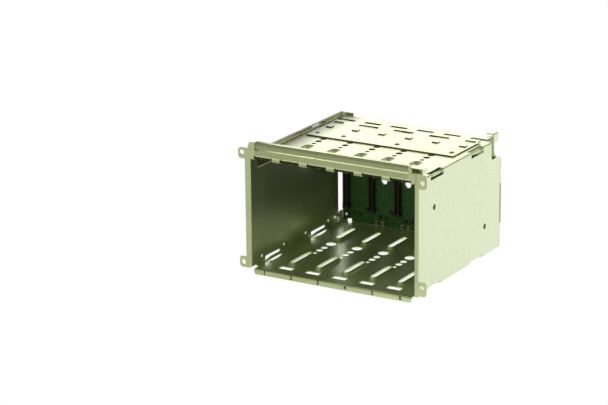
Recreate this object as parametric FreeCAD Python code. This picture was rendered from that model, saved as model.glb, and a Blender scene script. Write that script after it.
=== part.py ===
# Hot swap drive cage: six bays for drives standing on edge, folded from
# galvanised steel sheet, with a backplane board closing the rear.
# Millimetres, +Z up, bays open towards -Y, origin under the middle of the cage.
import FreeCAD, Part
import math
import os

V = FreeCAD.Vector

# Driving sizes of the cage
bay_count = 6
bay_pitch = 28.4            # one drive tray to the next
wall_inset = 0.5            # outermost guide line to the inner face of a side wall
sheet = 1.0                 # steel sheet of the cage
bend = 0.8                  # inner radius of every fold
bend_stub = 0.5             # straight edge left after a fold, where panels are welded
clear_height = 105.9        # floor to the underside of the top panel
cage_depth = 168.5          # front flanges to the rear edge of the side walls
lip_drop = 5.0              # floor to the lower edge of the numbered lip

# Drive guides: the same row of features in the floor and in the top panel
guide_slot_width = 5.0
guide_rim = 1.0             # wall of the drawn rim round a guide slot
guide_rise = 3.0            # how far a rim stands into the bay
guide_root = 1.5            # height of the slope at the foot of a rim
guide_flare = 2.6           # depth of the slope on the sheet's other side
front_guide_start = 25.0
front_guide_length = 35.0
rear_guide_start = 109.5
rear_guide_length = 32.5
latch_window_place = 16.0
latch_window_width = 14.0
latch_window_depth = 7.0
vent_holes = ((67.2, 4.5), (76.0, 6.5), (85.0, 6.5), (97.6, 10.0))

# Slots on both sides of the long folds, with the fold left between them as a bar
low_slot_starts = (24.0, 107.5)
low_slot_length = 26.0
high_slot_starts = (29.5, 109.0)
high_slot_length = 25.0
high_slot_drop = 3.4        # width of a high slot in the right side wall
high_slot_width = 3.2       # width of a high slot in the top panel
low_slot_width = 2.4        # width of a low slot in the floor
left_slot_rise = 3.7        # width of a low slot in the left side wall
right_slot_rise = 1.1       # width of a low slot in the right side wall
low_bar_shift = 2.2         # how far a low bar is pressed in, sideways and up
high_bar_shift = 2.0
bar_ramp = 9.0              # front end of a bar to where it is fully pressed in
bar_return = 2.5            # the same at its rear end
pilot_places = (18.3, 57.6, 97.5, 140.4, 153.4)
pilot_rise = 7.2
pilot_bore = 2.5

# Numbered lip along the front of the floor
lip_inset = 2.4             # end of the lip to the inner face of the side wall
lip_corner = 2.5
lip_relief = 9.0            # floor edge behind the lip, beside its two ends

# Front flanges and mounting ears, one size for each corner
left_flange_width = 4.6
right_flange_width = 3.8
ear_width = 11.7            # outer face of a side wall to the outer edge of an ear
ear_hole = 4.5
ear_corner = 3.0
left_ear_line = 7.7         # outer face of a side wall to the middle of an ear's hole
right_ear_line = 7.3
left_low_ear = (0.1, 11.0, 5.2)     # lower edge, upper edge and hole, up from the floor
right_low_ear = (2.7, 15.8, 10.8)
left_high_ear = (-2.2, 8.1, 3.7)    # the same, up from the top panel
right_high_ear = (-4.9, 8.1, 0.6)

# Left side wall
rail_rise = 3.7             # upstand above the top panel, along the left edge
left_window_length = 8.5    # from the rear edge of the wall
left_window_low = 11.0
left_window_high = 68.0
rail_slot = (110.0, 16.0)   # from the front flanges, and its length
rail_slot_low = 1.1         # top panel to the lower edge of the slot
rail_slot_width = 1.6

# Doubler plate inside the left side wall, below the beam
doubler_start = 12.0
doubler_length = 26.0
doubler_drop = 1.9          # underside of the top panel to its upper edge
doubler_height = 9.5
doubler_sheet = 0.8
doubler_hole_start = 18.7   # from the front flanges
doubler_hole_drop = 5.7     # below the top panel

# Right side wall
right_notch_length = 18.5   # from the rear edge of the wall
right_notch_drop = 17.9     # from the top panel
right_notch_fillet = 5.0
side_holes = ((36.9, 75.1), (138.0, 28.5))
side_hole_bore = 5.5

# Lugs turned in at the rear edges of the side walls, for the backplane screws
lug_width = 8.5
lug_height = 8.0
right_lug_middles = (15.0, 80.0)
left_lug_middles = (7.0, 80.0)      # the lower one is left without its screw

# Top panel
front_hem = 10.0            # edge folded back on itself below the front beam
tray_slot_place = 15.2      # from the rear edge of the panel
tray_slot_length = 17.8
tray_slot_width = 6.5

# Front beam, a folded channel across the top of the opening
beam_inset = 6.3            # outer face of a side wall to the end of the folded length
beam_rise = 14.8            # top panel to the top edge of the beam
beam_step_low = 7.5         # top panel to the crease below the set-back band
beam_step_high = 8.4
beam_step_back = 1.6
beam_lean = 0.5             # how far the set-back band leans to the rear
beam_return = 3.6
beam_foot = 11.0
end_plate_lap = 0.9         # outer face of a side wall to the edge of an end plate
end_plate_drop = 0.2        # top panel to the lower edge of the end plates
left_plate_rise = 14.7
left_plate_corner = 0.6     # fall of the left plate's upper edge at its corner
right_plate_slope = (3.5, 2.8)      # width and fall of the right plate's upper edge
finger_width = 8.3
finger_drop = 3.1           # lower face of the beam to the tip of a finger
finger_curl = 2.0
finger_relief = 1.5
finger_root = 1.9           # underside of the foot to the top of the relief notches
relief_depth = 2.3          # front of the beam to the rear end of the notches
finger_lean = 0.6           # tip of a finger, behind the front of the beam
end_slant = 1.5             # set-back of the left end plate's upper corner
left_end_finger = (79.9, 84.2)      # from the middle of the beam
left_end_notch = 78.0
right_end_finger = (82.1, 84.2)
right_end_notch = 79.7
keeper_reach = 7.7          # outer face of the right side wall to the end of the box
keeper_height = 5.6
keeper_depth = 8.0
keeper_sheet = 0.8

# Cover plate on the top panel
cover_inset = 7.2           # inner face of a side wall to the end of the plate
cover_start = 88.4
cover_length = 56.0
cover_sheet = 1.2
cover_step_place = 48.1     # from the front edge of the plate
cover_step = 1.0
cover_step_run = 2.0        # length of the slope that rises over the step
cover_window_margin = 0.2   # window beyond the slope, at both ends
cover_window_pitch = 37.7
cover_window_length = 21.0
clip_place = 33.1
clip_width = 7.6
clip_length = 4.6
clip_rise = 1.0
clip_sheet = 0.8
cover_edge = 1.5            # sheet left between an end window and the plate's edge
cover_rivet_place = 9.8
cover_rivet_bays = (0, 1, 3, 5)

# Backplane board and the bracket behind it
board_thickness = 2.4
board_lap = 0.1             # inner face of a side wall to the edge of the board
board_foot = 0.3            # floor to the lower edge of the board
board_top = 86.0
board_lobe_low = 23.6
board_lobe_high = 62.0
board_lobe = 1.0
board_vents = (-38.4, -12.3, 12.3, 38.4)
board_vent_height = 46.5
board_vent_bore = 7.0
board_notch_place = 4.8     # left edge of the board to the notch
board_notch_width = 5.4
board_notch_height = 3.0
floor_ledge = 1.2           # floor running on behind the board
bracket_sheet = 1.0
bracket_lap = 23.0          # how far the bracket reaches down behind the board
bracket_rise = 0.1          # underside of the top panel to the bracket's upper edge
bracket_notch_width = 6.9   # cut right-hand corner, from the inner face of the wall
bracket_notch_height = 20.0
bracket_notch_fillet = 5.0
left_tab_width = 12.2
left_tab_rise = 3.2
hook_width = 7.4
hook_depth = 9.0
hook_drop = 6.0             # upper edge of the bracket to the hook's lower edge
hook_rise = 2.8

# Drive connectors, one to a bay, upright on the front of the board
connector_offset = -8.2
connector_width = 5.4
connector_depth = 5.0
connector_low = 14.0
connector_length = 58.0
connector_mouth_width = 2.6
connector_mouth_depth = 3.6
connector_mouth_margin = 3.0
connector_key = 0.8
connector_end = 5.0
contact_width = 0.4
contact_margin = 2.0
contact_lead = 1.6          # mouth of the connector to the start of the contacts

# Small parts on the front of the board, placed from the middle of each bay or,
# where so named, from the guide lines between the bays
capacitor_places = ((-3.6, 3.4), (3.4, 3.4))
capacitor_size = (3.2, 1.6, 4.2)
resistor_places = ((0.0, 9.2), (6.6, 9.2))
between_bays_places = ((-2.2, 15.6),)
resistor_size = (3.0, 1.0, 3.0)

# Rear of the board
signal_port_centre = (-30.0, 31.0)
signal_port_size = (62.0, 8.8, 11.0)
signal_port_wall = 1.4
signal_tongue = 3.2         # thickness of the tongue, and its gap to the ends
power_port_centre = (44.0, 20.0)
power_port_size = (23.0, 11.5, 10.4)
power_port_wall = 1.3
power_pin_count = 4
power_pin_pitch = 5.08
power_pin_bore = 2.1
main_chip_centre = (19.0, 31.0)
main_chip_side = 20.0
main_chip_height = 2.2
main_chip_leads = 12
driver_chip_places = ((-69.0, 22.0), (-45.0, 14.0), (-12.0, 14.0))
driver_chip_size = (7.6, 1.8, 15.0)
driver_chip_leads = 9
lead_reach = 1.2
lead_width = 0.6
lead_thickness = 0.4
can_places = ((66.0, 22.0), (66.0, 36.0), (66.0, 50.0))
can_bore = 8.0
can_height = 8.5
can_base = 1.4
can_base_margin = 0.2
can_round = 0.8

# Fasteners
screw_bore = 3.0
screw_clearance = 0.2
screw_head = 6.0
screw_head_height = 2.2
screw_head_round = 0.7
screw_recess = 1.3
screw_recess_arm = 1.8
screw_slot = 0.9
screw_end = 1.0             # front face of a lug to the end of a screw
rivet_bore = 3.3
rivet_shank = 3.2
rivet_head = 6.4
rivet_head_height = 0.9
rivet_core = 1.8
rivet_tail_margin = 0.8     # upset tail beyond the shank, all round
beam_rivet_place = 5.5
cover_rivet_bore = 4.1      # these are wider, open in the middle like an eyelet
cover_rivet_shank = 4.0
cover_rivet_head = 5.0
cover_rivet_height = 0.3
cover_rivet_core = 3.2
rail_rivet_places = (44.0, 90.0, 132.0)
rail_rivet_bore = 1.5
rail_rivet_head = 2.8
rail_rivet_height = 0.5
rail_rivet_core = 0.8
rail_rivet_tail_margin = 0.3
rail_rivet_clearance = 0.1

# Levels and planes that follow from the sizes above
outer_fold = bend + sheet
inner_half = bay_count * bay_pitch / 2.0 - wall_inset
outer_half = inner_half + sheet
floor_z = lip_drop
floor_under = floor_z - sheet
low_weld = floor_under + outer_fold + bend_stub
top_under = floor_z + clear_height
top_z = top_under + sheet
high_weld = top_z - outer_fold - bend_stub
rail_top = top_z + rail_rise
port_depth = max(signal_port_size[1], power_port_size[1])
total_depth = sheet + cage_depth + board_thickness + port_depth
front_y = sheet - total_depth / 2.0
rear_y = front_y + cage_depth
beam_y = front_y - sheet
beam_half = outer_half - beam_inset
end_plate_half = outer_half + end_plate_lap
foot_z = top_z + sheet
beam_rivet_y = front_y + beam_rivet_place
cover_half = inner_half - cover_inset
cover_y = front_y + cover_start
cover_rivet_y = cover_y + cover_rivet_place
rail_rivet_z = (top_z + bend + rail_top) / 2.0
board_y = rear_y
board_half = inner_half + board_lap
bracket_y = board_y + board_thickness
bracket_low = floor_z + board_top - bracket_lap
bracket_top = top_under + bracket_rise
bracket_notch = inner_half - bracket_notch_width
screw_line = inner_half - lug_width / 2.0
bay_lines = [(i - (bay_count - 1) / 2.0) * bay_pitch for i in range(bay_count)]
guide_lines = [(i - bay_count / 2.0) * bay_pitch for i in range(1, bay_count)]


def box(x0, x1, y0, y1, z0, z1):
    return Part.makeBox(x1 - x0, y1 - y0, z1 - z0, V(x0, y0, z0))


def rod(diameter, start, direction, length):
    return Part.makeCylinder(diameter / 2.0, length, start, direction)


def fuse(shapes):
    first, rest = shapes[0], shapes[1:]
    if rest:
        first = first.fuse(rest)
    return first.removeSplitter()


def cut(shape, tools):
    return shape.cut(Part.makeCompound(tools)) if tools else shape


def slot_block(centre_x, start_y, length, width, z0, z1):
    """Upright block with round ends that lies along Y."""
    radius = width / 2.0
    middle = box(centre_x - radius, centre_x + radius,
                 start_y + radius, start_y + length - radius, z0, z1)
    ends = [rod(width, V(centre_x, y, z0), V(0, 0, 1), z1 - z0)
            for y in (start_y + radius, start_y + length - radius)]
    return middle.fuse(ends).removeSplitter()


def flared_block(centre_x, start_y, length, width, flare, z_narrow, z_wide):
    """Block with round ends whose four sides slope out by the flare at one end."""
    radius = width / 2.0
    low, high = sorted((z_narrow, z_wide))
    wide = radius + flare
    y0, y1 = start_y + radius, start_y + length - radius
    at_low, at_high = (radius, wide) if z_narrow < z_wide else (wide, radius)
    outline = [V(centre_x - at_low, y0, low), V(centre_x + at_low, y0, low),
               V(centre_x + at_high, y0, high), V(centre_x - at_high, y0, high)]
    middle = Part.Face(Part.makePolygon(outline + outline[:1])).extrude(V(0, y1 - y0, 0))
    ends = [Part.makeCone(at_low, at_high, high - low, V(centre_x, y, low), V(0, 0, 1))
            for y in (y0, y1)]
    return middle.fuse(ends).removeSplitter()


def rounded_chain(points, radii):
    """Edges of an open line through the points, with its corners rounded."""
    edges = []
    here = points[0]
    for before, corner, after, radius in zip(points, points[1:], points[2:], radii):
        back = (before - corner).normalize()
        ahead = (after - corner).normalize()
        half = back.getAngle(ahead) / 2.0
        reach = radius / math.tan(half)
        start = corner + back * reach
        end = corner + ahead * reach
        inward = (back + ahead).normalize()
        middle = corner + inward * (radius / math.sin(half) - radius)
        edges.append(Part.LineSegment(here, start).toShape())
        edges.append(Part.Arc(start, middle, end).toShape())
        here = end
    edges.append(Part.LineSegment(here, points[-1]).toShape())
    return edges


def bent_sheet(path, side, thickness, frame, start, length):
    """Sheet folded along path, its other face on the given side, run out along an axis.

    frame turns (u, v, w) of the path into x, y, z, and w runs from start over length.
    """
    flat = [V(u, v, 0) for u, v in path]
    ways = [(b - a).normalize() for a, b in zip(flat, flat[1:])]
    normals = [V(-w.y, w.x, 0) * side for w in ways]
    other = [flat[0] + normals[0] * thickness]
    near_radii, far_radii = [], []
    for i in range(1, len(ways)):
        path_is_outside = ways[i - 1].cross(ways[i]).z * side > 0
        near_radii.append(bend + thickness if path_is_outside else bend)
        far_radii.append(bend if path_is_outside else bend + thickness)
        spread = normals[i - 1] + normals[i]
        other.append(flat[i] + spread * (2.0 * thickness / spread.dot(spread)))
    other.append(flat[-1] + normals[-1] * thickness)
    near_edges = rounded_chain(flat, near_radii)
    far_edges = rounded_chain(other[::-1], far_radii[::-1])
    caps = [Part.LineSegment(flat[-1], other[-1]).toShape(),
            Part.LineSegment(other[0], flat[0]).toShape()]
    wire = Part.Wire(near_edges + [caps[0]] + far_edges + [caps[1]])
    solid = Part.Face(wire).extrude(V(0, 0, length))
    solid.translate(V(0, 0, start))
    axes = {"xz": ((1, 0, 0), (0, 0, 1), (0, -1, 0)),
            "yz": ((0, 1, 0), (0, 0, 1), (1, 0, 0)),
            "xy": ((1, 0, 0), (0, 1, 0), (0, 0, 1))}[frame]
    turn = FreeCAD.Matrix()
    turn.A11, turn.A21, turn.A31 = axes[0]
    turn.A12, turn.A22, turn.A32 = axes[1]
    turn.A13, turn.A23, turn.A33 = axes[2]
    return solid.transformed(turn)


def ear_plate(side, x_inner, base_z, span, line):
    """Flat ear in the plane of the front flanges, with rounded outer corners."""
    low, high, hole_z = (base_z + value for value in span)
    x_outer = side * (outer_half + ear_width)
    x0, x1 = sorted((side * x_inner, x_outer))
    plate = box(x0, x1, front_y, front_y + sheet, low, high)
    corners = [edge for edge in plate.Edges
               if abs(edge.Vertexes[0].Point.x - x_outer) < 1e-6
               and abs(edge.Vertexes[1].Point.x - x_outer) < 1e-6
               and abs(edge.Vertexes[0].Point.z - edge.Vertexes[1].Point.z) < 1e-6]
    plate = plate.makeFillet(ear_corner, corners)
    hole = rod(ear_hole, V(side * (outer_half + line), front_y - 1, hole_z),
               V(0, 1, 0), sheet + 2)
    return plate, hole


def guide_features(face_z, inward):
    """Rims to add and openings to cut for the guide rows of one horizontal panel.

    face_z is the face towards the bays and inward is +1 or -1 along Z.
    """
    rims, openings = [], []
    tip = face_z + inward * guide_rise
    outer_z = face_z - inward * sheet
    back = face_z - inward * (sheet + 1.0)
    rim_low, rim_high = sorted((face_z - inward * sheet / 2.0, tip))
    cut_low, cut_high = sorted((back, tip + inward))
    guides = ((front_guide_start, front_guide_length),
              (rear_guide_start, rear_guide_length))
    for x in guide_lines:
        for start, length in guides:
            y = front_y + start
            rims.append(slot_block(x, y - guide_rim, length + 2 * guide_rim,
                                   guide_slot_width + 2 * guide_rim, rim_low, rim_high))
            rims.append(flared_block(x, y - guide_rim, length + 2 * guide_rim,
                                     guide_slot_width + 2 * guide_rim, guide_root,
                                     face_z + inward * guide_root, face_z))
            openings.append(slot_block(x, y, length, guide_slot_width,
                                       cut_low, cut_high))
            openings.append(flared_block(x, y, length, guide_slot_width, guide_flare,
                                         outer_z + inward * guide_flare, outer_z))
        for place, bore in vent_holes:
            openings.append(rod(bore, V(x, front_y + place, cut_low),
                                V(0, 0, 1), cut_high - cut_low))
        window_y = front_y + latch_window_place
        openings.append(box(x - latch_window_width / 2.0, x + latch_window_width / 2.0,
                            window_y - latch_window_depth / 2.0,
                            window_y + latch_window_depth / 2.0, cut_low, cut_high))
    return rims, openings


def corner_openings_flat(side, starts, length, width, z0, z1):
    """The slots along one long fold that lie in a floor or top panel, and the fold itself."""
    x0, x1 = sorted((side * (outer_half - outer_fold - width), side * (outer_half + 1)))
    return [box(x0, x1, front_y + start, front_y + start + length, z0, z1)
            for start in starts]


def corner_bars(side, starts, length, corner_z, inward, shift):
    """The fold left between two slots, pressed into the cage as a lead-in for the trays.

    corner_z is the outer face of the panel and inward is +1 or -1 along Z.
    """
    def section(y, moved):
        def at(x, z):
            return V(side * (x - moved), y, corner_z + inward * (z + moved))
        middle_x, middle_z = outer_half - outer_fold, outer_fold
        slant = math.sqrt(0.5)
        end = outer_fold + bend_stub
        edges = [Part.LineSegment(at(outer_half, end), at(outer_half, middle_z)),
                 Part.Arc(at(outer_half, middle_z),
                          at(middle_x + outer_fold * slant, middle_z - outer_fold * slant),
                          at(middle_x, 0.0)),
                 Part.LineSegment(at(middle_x, 0.0), at(middle_x, sheet)),
                 Part.Arc(at(middle_x, sheet),
                          at(middle_x + bend * slant, middle_z - bend * slant),
                          at(inner_half, middle_z)),
                 Part.LineSegment(at(inner_half, middle_z), at(inner_half, end)),
                 Part.LineSegment(at(inner_half, end), at(outer_half, end))]
        return Part.Wire([edge.toShape() for edge in edges])
    bars = []
    for start in starts:
        y0 = front_y + start
        y1 = y0 + length
        stations = ((y0, 0.0), (y0 + bar_ramp, shift), (y1 - bar_return, shift), (y1, 0.0))
        pieces = [Part.makeLoft([section(*here), section(*there)], True, True)
                  for here, there in zip(stations, stations[1:])]
        bars.append(pieces[0].fuse(pieces[1:]))
    return bars


def wall_span(side):
    """The x range that a cutter needs to pass through a side wall."""
    return sorted((side * (inner_half - 1), side * (outer_half + 1)))


def corner_openings_upright(side, starts, length, z, width):
    """The slots beside one long fold that lie in a side wall."""
    x0, x1 = wall_span(side)
    return [box(x0, x1, front_y + start, front_y + start + length, z, z + width)
            for start in starts]


def low_wall_slots(side, rise):
    """Slots along the foot of a side wall."""
    return corner_openings_upright(side, low_slot_starts, low_slot_length,
                                   low_weld - 1, rise + 1)


def wall_hole(side, bore, place, rise):
    """Round hole through a side wall, from the front flanges and from the floor."""
    x0, x1 = wall_span(side)
    return rod(bore, V(x0, front_y + place, floor_z + rise), V(1, 0, 0), x1 - x0)


def floor_panel():
    section = [(-outer_half, low_weld), (-outer_half, floor_under),
               (outer_half, floor_under), (outer_half, low_weld)]
    tray = bent_sheet(section, 1, sheet, "xz", 0, cage_depth - lip_relief)
    tray.translate(V(0, rear_y, 0))
    lip_half = inner_half - lip_inset
    lip_section = [(front_y, 0.0), (front_y, floor_z),
                   (front_y + lip_relief + sheet, floor_z)]
    lip = bent_sheet(lip_section, -1, sheet, "yz", -lip_half, 2 * lip_half)
    lip = lip.makeFillet(lip_corner, lip_corner_edges(lip, lip_half))
    ledge = box(-board_half, board_half, rear_y - sheet,
                board_y + board_thickness + floor_ledge, floor_under, floor_z)
    rims, openings = guide_features(floor_z, 1)
    bars = []
    for side in (-1, 1):
        openings += corner_openings_flat(side, low_slot_starts, low_slot_length,
                                         low_slot_width, floor_under - 1, low_weld + 1)
        bars += corner_bars(side, low_slot_starts, low_slot_length, floor_under, 1,
                            low_bar_shift)
    return fuse([cut(fuse([tray, lip, ledge] + rims), openings)] + bars)


def lip_corner_edges(lip, lip_half):
    """The two short upright-to-lower corners at the ends of the lip."""
    found = []
    for edge in lip.Edges:
        points = [vertex.Point for vertex in edge.Vertexes]
        if len(points) == 2 and all(abs(p.z) < 1e-6 for p in points) \
                and all(abs(abs(p.x) - lip_half) < 1e-6 for p in points) \
                and abs(points[0].x - points[1].x) < 1e-6:
            found.append(edge)
    return found


def side_wall(side, flange_width, base_z, head_z):
    """Flat wall with its front flange turned out, as one folded sheet."""
    section = [(side * inner_half, rear_y), (side * inner_half, front_y),
               (side * (outer_half + flange_width), front_y)]
    return bent_sheet(section, side, sheet, "xy", base_z, head_z - base_z)


def screw_holes(side, middles):
    """Holes for the backplane screws through lugs, board and bracket alike."""
    start = rear_y - sheet - 1
    depth = sheet + board_thickness + bracket_sheet + 2
    return [rod(screw_bore + screw_clearance, V(side * screw_line, start, floor_z + middle),
                V(0, 1, 0), depth) for middle in middles]


def lugs(side, middles):
    """Tongues turned in at the rear edge of a wall, one to each screw."""
    shapes = []
    for middle in middles:
        section = [(side * outer_half, rear_y - outer_fold - lug_width),
                   (side * outer_half, rear_y), (side * (inner_half - lug_width), rear_y)]
        shapes.append(bent_sheet(section, side, sheet, "xy",
                                 floor_z + middle - lug_height / 2.0, lug_height))
    return shapes


def left_side_wall():
    wall = side_wall(-1, left_flange_width, low_weld, rail_top)
    low_ear, low_hole = ear_plate(-1, outer_half + bend, floor_z, left_low_ear,
                                  left_ear_line)
    high_ear, high_hole = ear_plate(-1, inner_half + bend, top_z, left_high_ear,
                                    left_ear_line)
    window = box(-outer_half - 1, -inner_half + 1, rear_y - left_window_length, rear_y + 1,
                 floor_z + left_window_low, floor_z + left_window_high)
    trim = box(-outer_half - left_flange_width - 1, -outer_half - outer_fold,
               front_y - 1, front_y + sheet + 1, top_z + left_high_ear[0], rail_top + 1)
    wall = wall.cut(trim)
    openings = [low_hole, high_hole, window, rail_opening()]
    openings += low_wall_slots(-1, left_slot_rise)
    openings += [wall_hole(-1, pilot_bore, place, pilot_rise) for place in pilot_places]
    openings.append(doubler_hole())
    openings += screw_holes(-1, left_lug_middles)
    openings += rail_rivet_holes()
    return cut(fuse([wall, low_ear, high_ear] + lugs(-1, left_lug_middles)), openings)


def rail_opening():
    """Slot through both sheets of the rail."""
    start, length = rail_slot
    low = top_z + rail_slot_low
    return box(-outer_half - 1, -inner_half + sheet + 1, front_y + start,
               front_y + start + length, low, low + rail_slot_width)


def doubler_hole():
    """Pilot hole through the doubler plate and the wall behind it."""
    return wall_hole(-1, pilot_bore, doubler_hole_start, clear_height - doubler_hole_drop)


def left_doubler_plate():
    start = front_y + doubler_start
    high = top_under - doubler_drop
    plate = box(-inner_half, -inner_half + doubler_sheet, start, start + doubler_length,
                high - doubler_height, high)
    return plate.cut(doubler_hole())


def rail_rivet_holes():
    return [rod(rail_rivet_bore + rail_rivet_clearance,
                V(-outer_half - 1, front_y + place, rail_rivet_z),
                V(1, 0, 0), 2 * sheet + 2) for place in rail_rivet_places]


def right_side_wall():
    wall = side_wall(1, right_flange_width, low_weld, high_weld)
    low_ear, low_hole = ear_plate(1, outer_half + bend, floor_z, right_low_ear,
                                  right_ear_line)
    high_ear, high_hole = ear_plate(1, inner_half + bend, top_z, right_high_ear,
                                    right_ear_line)
    notch_y = rear_y - right_notch_length
    notch_z = top_z - right_notch_drop
    notch = box(inner_half - 1, outer_half + 1, notch_y, rear_y + 1, notch_z, top_z + 1)
    inner_corner = [edge for edge in notch.Edges
                    if abs(edge.CenterOfMass.y - notch_y) < 1e-6
                    and abs(edge.CenterOfMass.z - notch_z) < 1e-6]
    notch = notch.makeFillet(right_notch_fillet, inner_corner)
    openings = [low_hole, high_hole, notch]
    openings += low_wall_slots(1, right_slot_rise)
    openings += corner_openings_upright(1, high_slot_starts, high_slot_length,
                                        high_weld - high_slot_drop, high_slot_drop + 1)
    openings += screw_holes(1, right_lug_middles)
    openings += [wall_hole(1, side_hole_bore, y, z) for y, z in side_holes]
    return cut(fuse([wall, low_ear, high_ear] + lugs(1, right_lug_middles)), openings)


def top_panel():
    panel_start = front_y + sheet
    flange_x = -inner_half
    section = [(flange_x, rail_top), (flange_x, top_under), (inner_half, top_under),
               (inner_half, high_weld)]
    length = rear_y - panel_start
    panel = bent_sheet(section, 1, sheet, "xz", 0, length)
    panel.translate(V(0, rear_y, 0))
    hem = box(flange_x + outer_fold, outer_half - outer_fold, panel_start,
              panel_start + front_hem, top_z - sheet / 2.0, top_z + sheet)
    notch = box(bracket_notch, outer_half + 1, rear_y - right_notch_length, rear_y + 1,
                high_weld - 1, top_z + 1)
    rims, openings = guide_features(top_under, -1)
    openings += corner_openings_flat(1, high_slot_starts, high_slot_length, high_slot_width,
                                     high_weld - 1, top_z + 1)
    openings += [notch, rail_opening()]
    tray_slot_y = rear_y - tray_slot_place
    for x in bay_lines:
        openings.append(box(x - tray_slot_length / 2.0, x + tray_slot_length / 2.0,
                            tray_slot_y - tray_slot_width / 2.0,
                            tray_slot_y + tray_slot_width / 2.0, top_under - 1, top_z + 1))
    openings += rail_rivet_holes() + beam_rivet_holes() + cover_rivet_holes()
    bars = corner_bars(1, high_slot_starts, high_slot_length, top_z, -1, high_bar_shift)
    return fuse([cut(fuse([panel, hem] + rims), openings)] + bars)


def cover_rivet_holes():
    depth = sheet + cover_sheet + 2
    return [rod(cover_rivet_bore, V(bay_lines[bay], cover_rivet_y, top_under - 1),
                V(0, 0, 1), depth) for bay in cover_rivet_bays]


def beam_section():
    """Front face of the beam from its foot, up the front and over to the rear."""
    band_y = beam_y + beam_step_back
    brow_y = band_y + beam_lean
    return [(beam_y + beam_foot, foot_z), (beam_y, foot_z),
            (beam_y, top_z + beam_step_low), (band_y, top_z + beam_step_high),
            (brow_y, top_z + beam_rise), (brow_y + beam_return, top_z + beam_rise)]


def finger(x0, x1):
    """Tongue that hangs from the beam between two bays, its tip curled back."""
    tip_z = top_z - finger_drop + sheet
    tip_y = beam_y + finger_lean
    section = [(tip_y + finger_curl + outer_fold, tip_z), (tip_y, tip_z),
               (beam_y, foot_z), (beam_y, foot_z + finger_root)]
    return bent_sheet(section, -1, sheet, "yz", x0, x1 - x0)


def end_plate(side):
    """Flat end of the beam that lies on the front flange of a side wall."""
    low = top_z - end_plate_drop
    corners = [(beam_half, low), (end_plate_half, low)]
    high = top_z + left_plate_rise
    if side < 0:
        corners += [(end_plate_half, top_z + beam_step_high),
                    (end_plate_half - end_slant, high - left_plate_corner),
                    (end_plate_half - 2 * end_slant, high)]
    else:
        width, fall = right_plate_slope
        ear_top = top_z + right_high_ear[1]
        corners += [(end_plate_half, ear_top), (beam_half + width, ear_top),
                    (beam_half + width, high - fall)]
    corners += [(beam_half, high)]
    points = [V(side * x, beam_y, z) for x, z in corners]
    face = Part.Face(Part.makePolygon(points + points[:1]))
    return face.extrude(V(0, sheet, 0))


def front_top_beam():
    beam = bent_sheet(beam_section(), -1, sheet, "yz", -beam_half, 2 * beam_half)
    gaps = [box(x - finger_width / 2.0 - finger_relief, x + finger_width / 2.0 + finger_relief,
                beam_y - 1, beam_y + relief_depth, foot_z - 1, foot_z + finger_root)
            for x in guide_lines]
    plates = []
    end_fingers = []
    for side, (near, far), notch in ((-1, left_end_finger, left_end_notch),
                                     (1, right_end_finger, right_end_notch)):
        x0, x1 = sorted((side * notch, side * near))
        gaps.append(box(x0, x1, beam_y - 1, beam_y + relief_depth,
                        top_z - finger_drop, foot_z + finger_root))
        plates.append(end_plate(side))
        end_fingers.append(finger(*sorted((side * near, side * far))))
    beam = cut(fuse([beam] + plates), gaps)
    fingers = [finger(x - finger_width / 2.0, x + finger_width / 2.0) for x in guide_lines]
    beam = fuse([beam] + fingers + end_fingers)
    return cut(beam, beam_rivet_holes())


def beam_rivet_holes():
    return [rod(rivet_bore, V(x, beam_rivet_y, top_under - 1), V(0, 0, 1), 3 * sheet + 2)
            for x in bay_lines]


def keeper_box():
    """Small folded box, open to the front, on top of the right-hand upper ear."""
    low = top_z + right_high_ear[1]
    reach = outer_half + keeper_reach
    outer = box(beam_half, reach, front_y, front_y + keeper_depth, low, low + keeper_height)
    inner = box(beam_half + keeper_sheet, reach - keeper_sheet,
                front_y - 1, front_y + keeper_depth - keeper_sheet,
                low + keeper_sheet, low + keeper_height - keeper_sheet)
    return outer.cut(inner)


def cover_plate():
    step = cover_y + cover_step_place
    step_end = step + cover_step_run
    section = [(cover_y, top_z), (step, top_z), (step_end, top_z + cover_step),
               (cover_y + cover_length, top_z + cover_step)]
    plate = bent_sheet(section, 1, cover_sheet, "yz", -cover_half, 2 * cover_half)
    openings = []
    count = int(cover_half // cover_window_pitch)
    for i in range(-count, count + 1):
        middle = i * cover_window_pitch
        low = max(middle - cover_window_length / 2.0, -cover_half + cover_edge)
        high = min(middle + cover_window_length / 2.0, cover_half - cover_edge)
        openings.append(box(low, high, step - cover_window_margin,
                            step_end + cover_window_margin,
                            top_z - 1, top_z + cover_step + cover_sheet + 1))
    clips = []
    for x in bay_lines:
        y = cover_y + clip_place
        openings.append(box(x - clip_width / 2.0 + clip_sheet, x + clip_width / 2.0 - clip_sheet,
                            y - clip_length / 2.0, y + clip_length / 2.0,
                            top_z - 1, top_z + cover_sheet + 1))
        clips.append(clip_bridge(x, y - clip_length / 2.0))
    openings += cover_rivet_holes()
    return fuse([cut(plate, openings)] + clips)


def clip_bridge(x, y):
    """Strip lanced out of the cover plate and pushed up into a low bridge."""
    z = top_z + cover_sheet
    half = clip_width / 2.0
    outer = [(-half, z - clip_sheet), (-half, z), (-half + clip_rise, z + clip_rise),
             (half - clip_rise, z + clip_rise), (half, z), (half, z - clip_sheet)]
    inner = [(half - clip_sheet, z - clip_sheet), (half - clip_rise, z + clip_rise - clip_sheet),
             (-half + clip_rise, z + clip_rise - clip_sheet), (-half + clip_sheet, z - clip_sheet)]
    points = [V(x + u, y, v) for u, v in outer + inner]
    return Part.Face(Part.makePolygon(points + points[:1])).extrude(V(0, clip_length, 0))


def screw_places():
    """Seat of each backplane screw: x, z and the face under its head."""
    places = []
    for side, middles in ((-1, left_lug_middles[1:]), (1, right_lug_middles)):
        for middle in middles:
            z = floor_z + middle
            seat = bracket_y + bracket_sheet if z > bracket_low else bracket_y
            places.append((side * screw_line, z, seat))
    return places


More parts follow.
